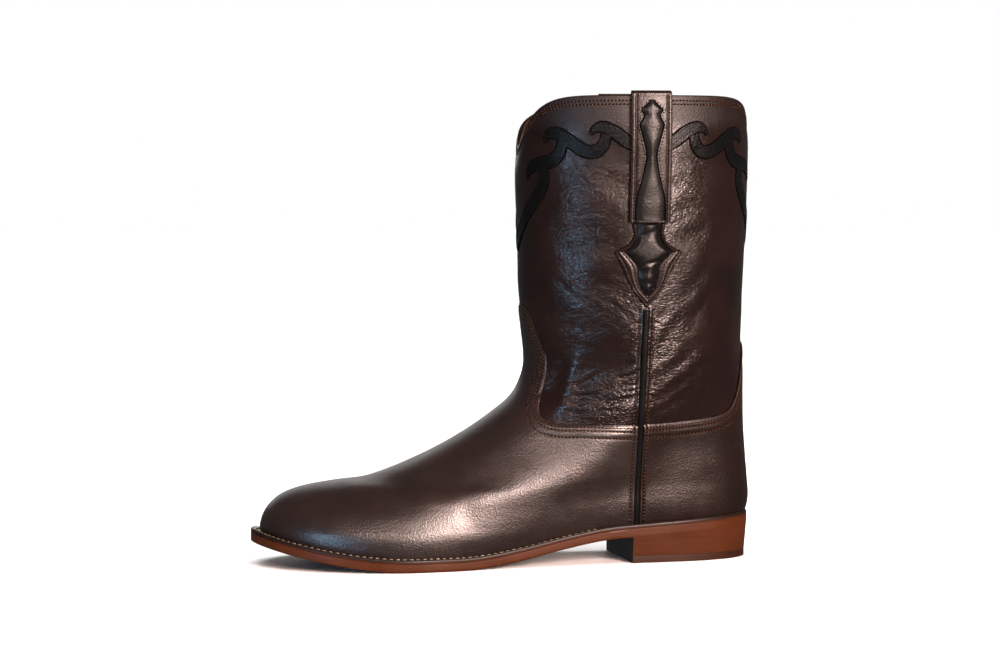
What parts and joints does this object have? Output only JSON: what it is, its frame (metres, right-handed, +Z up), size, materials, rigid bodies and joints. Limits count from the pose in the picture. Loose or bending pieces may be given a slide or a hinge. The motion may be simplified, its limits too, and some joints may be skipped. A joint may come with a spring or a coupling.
{
  "type": "western boot",
  "caption": "Left western boot with a round toe and low heel: smooth brown upper with black inlaid scroll, pull straps and a welted tan leather sole, worn on the foot.",
  "frame": {"origin": "middle of the boot's box on the floor it stands on", "axes": "+Z up, -X towards the toe, -Y towards the outer side of the left foot"},
  "size_m": [0.3076, 0.1092, 0.2861],
  "materials": {
    "brown_leather": "smooth, glossy",
    "black_leather": "glossy",
    "sole_leather": "dressed edge, satin",
    "welt_leather": "satin",
    "heel_rubber": "matt",
    "insole_leather": "natural"
  },
  "bodies": {
    "root": {"upper": "brown_leather", "vamp": "brown_leather", "counter": "brown_leather", "pull_strap_outer": "brown_leather", "pull_strap_inner": "brown_leather", "spade_rim_outer": "brown_leather", "spade_rim_inner": "brown_leather", "side_piping_outer": "black_leather", "side_piping_inner": "black_leather", "strap_inlay_outer": "black_leather", "strap_inlay_inner": "black_leather", "spade_inlay_outer": "black_leather", "spade_inlay_inner": "black_leather", "collar_scroll_front": "black_leather", "collar_scroll_back": "black_leather", "outsole": "sole_leather", "heel_stack": "sole_leather", "welt": "welt_leather", "heel_cap": "heel_rubber", "insole": "insole_leather"}
  },
  "joints": []
}
